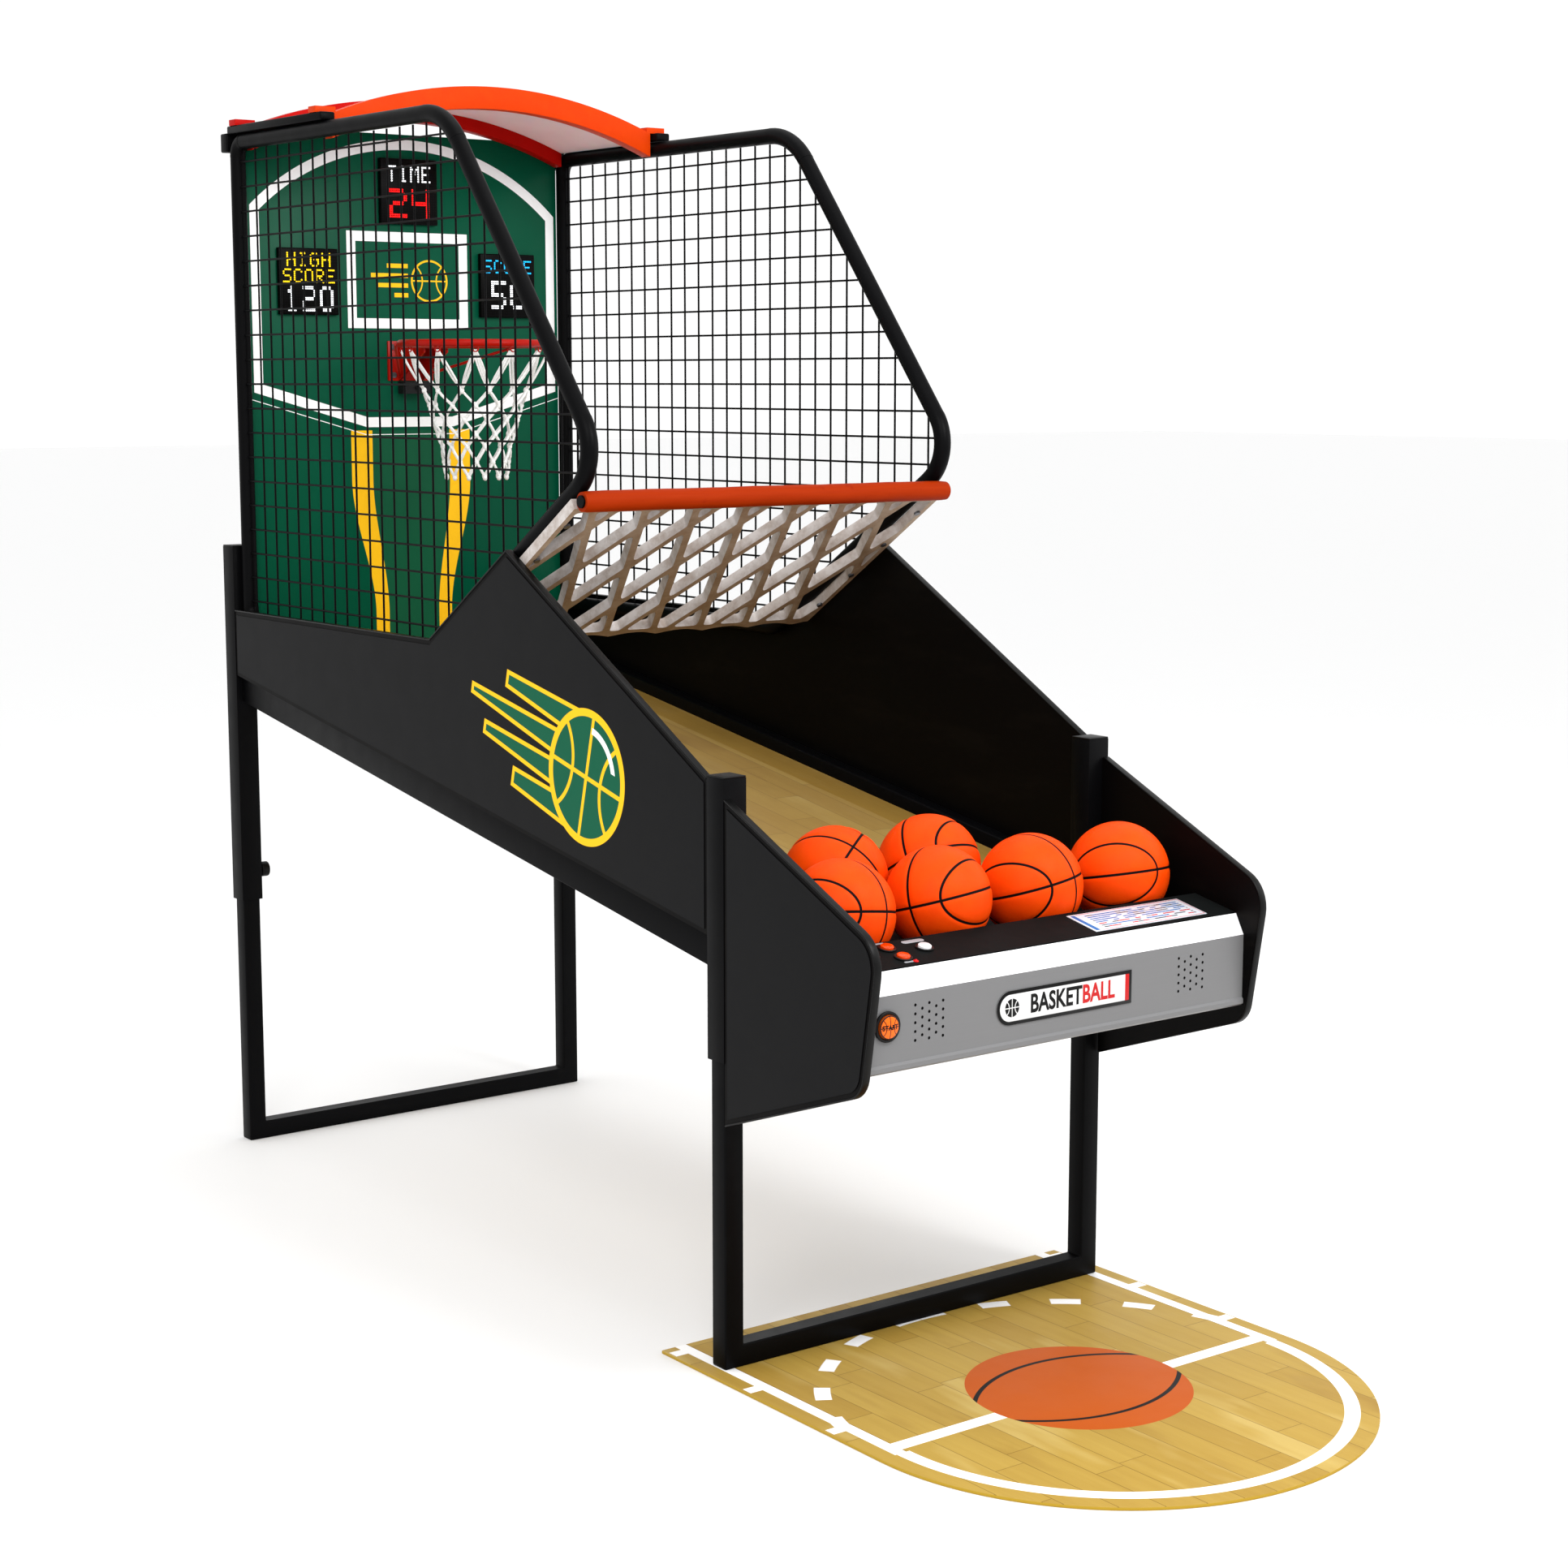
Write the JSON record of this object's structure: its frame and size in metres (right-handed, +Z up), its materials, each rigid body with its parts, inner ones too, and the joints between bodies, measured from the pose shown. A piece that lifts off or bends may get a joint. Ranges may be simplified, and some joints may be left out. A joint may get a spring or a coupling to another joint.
{
  "type": "basketball hoop machine",
  "caption": "Arcade basketball machine with a sloped ball-return cabinet, side cages, backboard, hoop, curved header, ball tray and court mat.",
  "frame": {"origin": "on the floor, at the middle of the length and the width of the machine with its mat", "axes": "+X is the width, to the right of a player who faces the hoop; +Y runs from the player to the backboard; +Z is up"},
  "size_m": [0.898, 2.697, 2.2183],
  "materials": {
    "black_steel": "satin black powder coat",
    "black_wire": "satin black powder coat",
    "black_board": "black laminate on board",
    "graphic_sheet": "charcoal printed sheet",
    "edge_trim": "black moulded trim",
    "backboard_print": "printed green board with white and yellow lines",
    "display_module": "black display with lit dots",
    "red_steel": "red powder coat",
    "net_cord": "white twisted cord",
    "header_plastic": "orange moulded plastic",
    "roof_sheet": "milky translucent sheet",
    "foam": "orange closed-cell foam",
    "guard_plastic": "grey-white moulded plastic",
    "bolt_steel": "zinc-plated",
    "court_board": "printed maple court",
    "tray_sheet": "black moulded tray",
    "console_sheet": "charcoal printed sheet",
    "fascia_sheet": "satin silver",
    "label": "printed label",
    "control_black": "black moulded plastic",
    "orange_button": "gloss orange",
    "white_button": "gloss white",
    "red_lens": "red lens",
    "circuit_box": "green circuit box",
    "metal_case": "perforated case",
    "ball_rubber": "pebbled orange rubber with black seams",
    "mat_print": "printed wooden court mat"
  },
  "bodies": {
    "root": {"leg_sleeves": "black_steel", "sleeve_caps": "edge_trim", "lock_knobs": "edge_trim", "side_rails": "black_steel", "cross_members": "black_steel", "side_wall_left": "black_board", "side_wall_right": "black_board", "side_graphic_left": "graphic_sheet", "side_graphic_right": "graphic_sheet", "tray_wall_left": "black_board", "tray_wall_right": "black_board", "edge_trim_left": "edge_trim", "edge_trim_right": "edge_trim", "cage_tube_left": "black_steel", "cage_tube_right": "black_steel", "cage_mesh_left": "black_wire", "cage_mesh_right": "black_wire", "backboard": "backboard_print", "time_display": "display_module", "high_score_display": "display_module", "score_display": "display_module", "hoop_bracket": "red_steel", "hoop_rim": "red_steel", "hoop_net": "net_cord", "score_sensor": "control_black", "header_front_arch": "header_plastic", "header_rear_arch": "header_plastic", "header_roof": "roof_sheet", "header_rails": "black_steel", "guard_bar_tube": "black_steel", "guard_bar_foam": "foam", "guard_net": "guard_plastic", "frame_bolts": "bolt_steel", "ball_ramp": "court_board", "ball_tray": "tray_sheet", "console_panel": "console_sheet", "fascia": "fascia_sheet", "name_plate": "label", "placard": "label", "start_bezel": "control_black", "button_collars": "control_black", "status_lamp": "red_lens", "speakers": "control_black", "control_box": "circuit_box", "power_supply": "metal_case", "power_inlet": "control_black"},
    "front_legs": {"front_leg_frame": "black_steel", "court_mat": "mat_print"},
    "rear_legs": {"rear_leg_frame": "black_steel"},
    "start": {"start_button": "orange_button"},
    "select": {"select_button": "white_button"},
    "player": {"player_button": "orange_button"},
    "volume": {"volume_button": "white_button"},
    "credit": {"credit_button": "orange_button"},
    "loose_ball_1": {"ball_1": "ball_rubber"},
    "loose_ball_2": {"ball_2": "ball_rubber"},
    "loose_ball_3": {"ball_3": "ball_rubber"},
    "loose_ball_4": {"ball_4": "ball_rubber"},
    "loose_ball_5": {"ball_5": "ball_rubber"},
    "loose_ball_6": {"ball_6": "ball_rubber"}
  },
  "joints": [
    {"name": "front_leg_slide", "type": "slide", "parent": "root", "child": "front_legs", "axis": [0, 0, -1], "range_m": [0, 0.15]},
    {"name": "rear_leg_slide", "type": "slide", "parent": "root", "child": "rear_legs", "axis": [0, 0, -1], "range_m": [0, 0.15]},
    {"name": "start_press", "type": "slide", "parent": "root", "child": "start", "axis": [0, 1, 0], "range_m": [0, 0.004], "stiffness_N_per_m": 400},
    {"name": "select_press", "type": "slide", "parent": "root", "child": "select", "axis": [0, 0.1922, -0.9814], "range_m": [0, 0.003], "stiffness_N_per_m": 300},
    {"name": "player_press", "type": "slide", "parent": "root", "child": "player", "axis": [0, 0.1922, -0.9814], "range_m": [0, 0.003], "stiffness_N_per_m": 300},
    {"name": "volume_press", "type": "slide", "parent": "root", "child": "volume", "axis": [0, 0.1922, -0.9814], "range_m": [0, 0.003], "stiffness_N_per_m": 300},
    {"name": "credit_press", "type": "slide", "parent": "root", "child": "credit", "axis": [0, 0.1922, -0.9814], "range_m": [0, 0.003], "stiffness_N_per_m": 300},
    {"name": "ball_lift_1", "type": "slide", "parent": "root", "child": "loose_ball_1", "axis": [0, 0, 1], "range_m": [0, 0.5]},
    {"name": "ball_lift_2", "type": "slide", "parent": "root", "child": "loose_ball_2", "axis": [0, 0, 1], "range_m": [0, 0.5]},
    {"name": "ball_lift_3", "type": "slide", "parent": "root", "child": "loose_ball_3", "axis": [0, 0, 1], "range_m": [0, 0.5]},
    {"name": "ball_lift_4", "type": "slide", "parent": "root", "child": "loose_ball_4", "axis": [0, 0, 1], "range_m": [0, 0.5]},
    {"name": "ball_lift_5", "type": "slide", "parent": "root", "child": "loose_ball_5", "axis": [0, 0, 1], "range_m": [0, 0.5]},
    {"name": "ball_lift_6", "type": "slide", "parent": "root", "child": "loose_ball_6", "axis": [0, 0, 1], "range_m": [0, 0.5]}
  ],
  "couplings": [
    {"joint": "rear_leg_slide", "follows": "front_leg_slide", "ratio": 1}
  ]
}
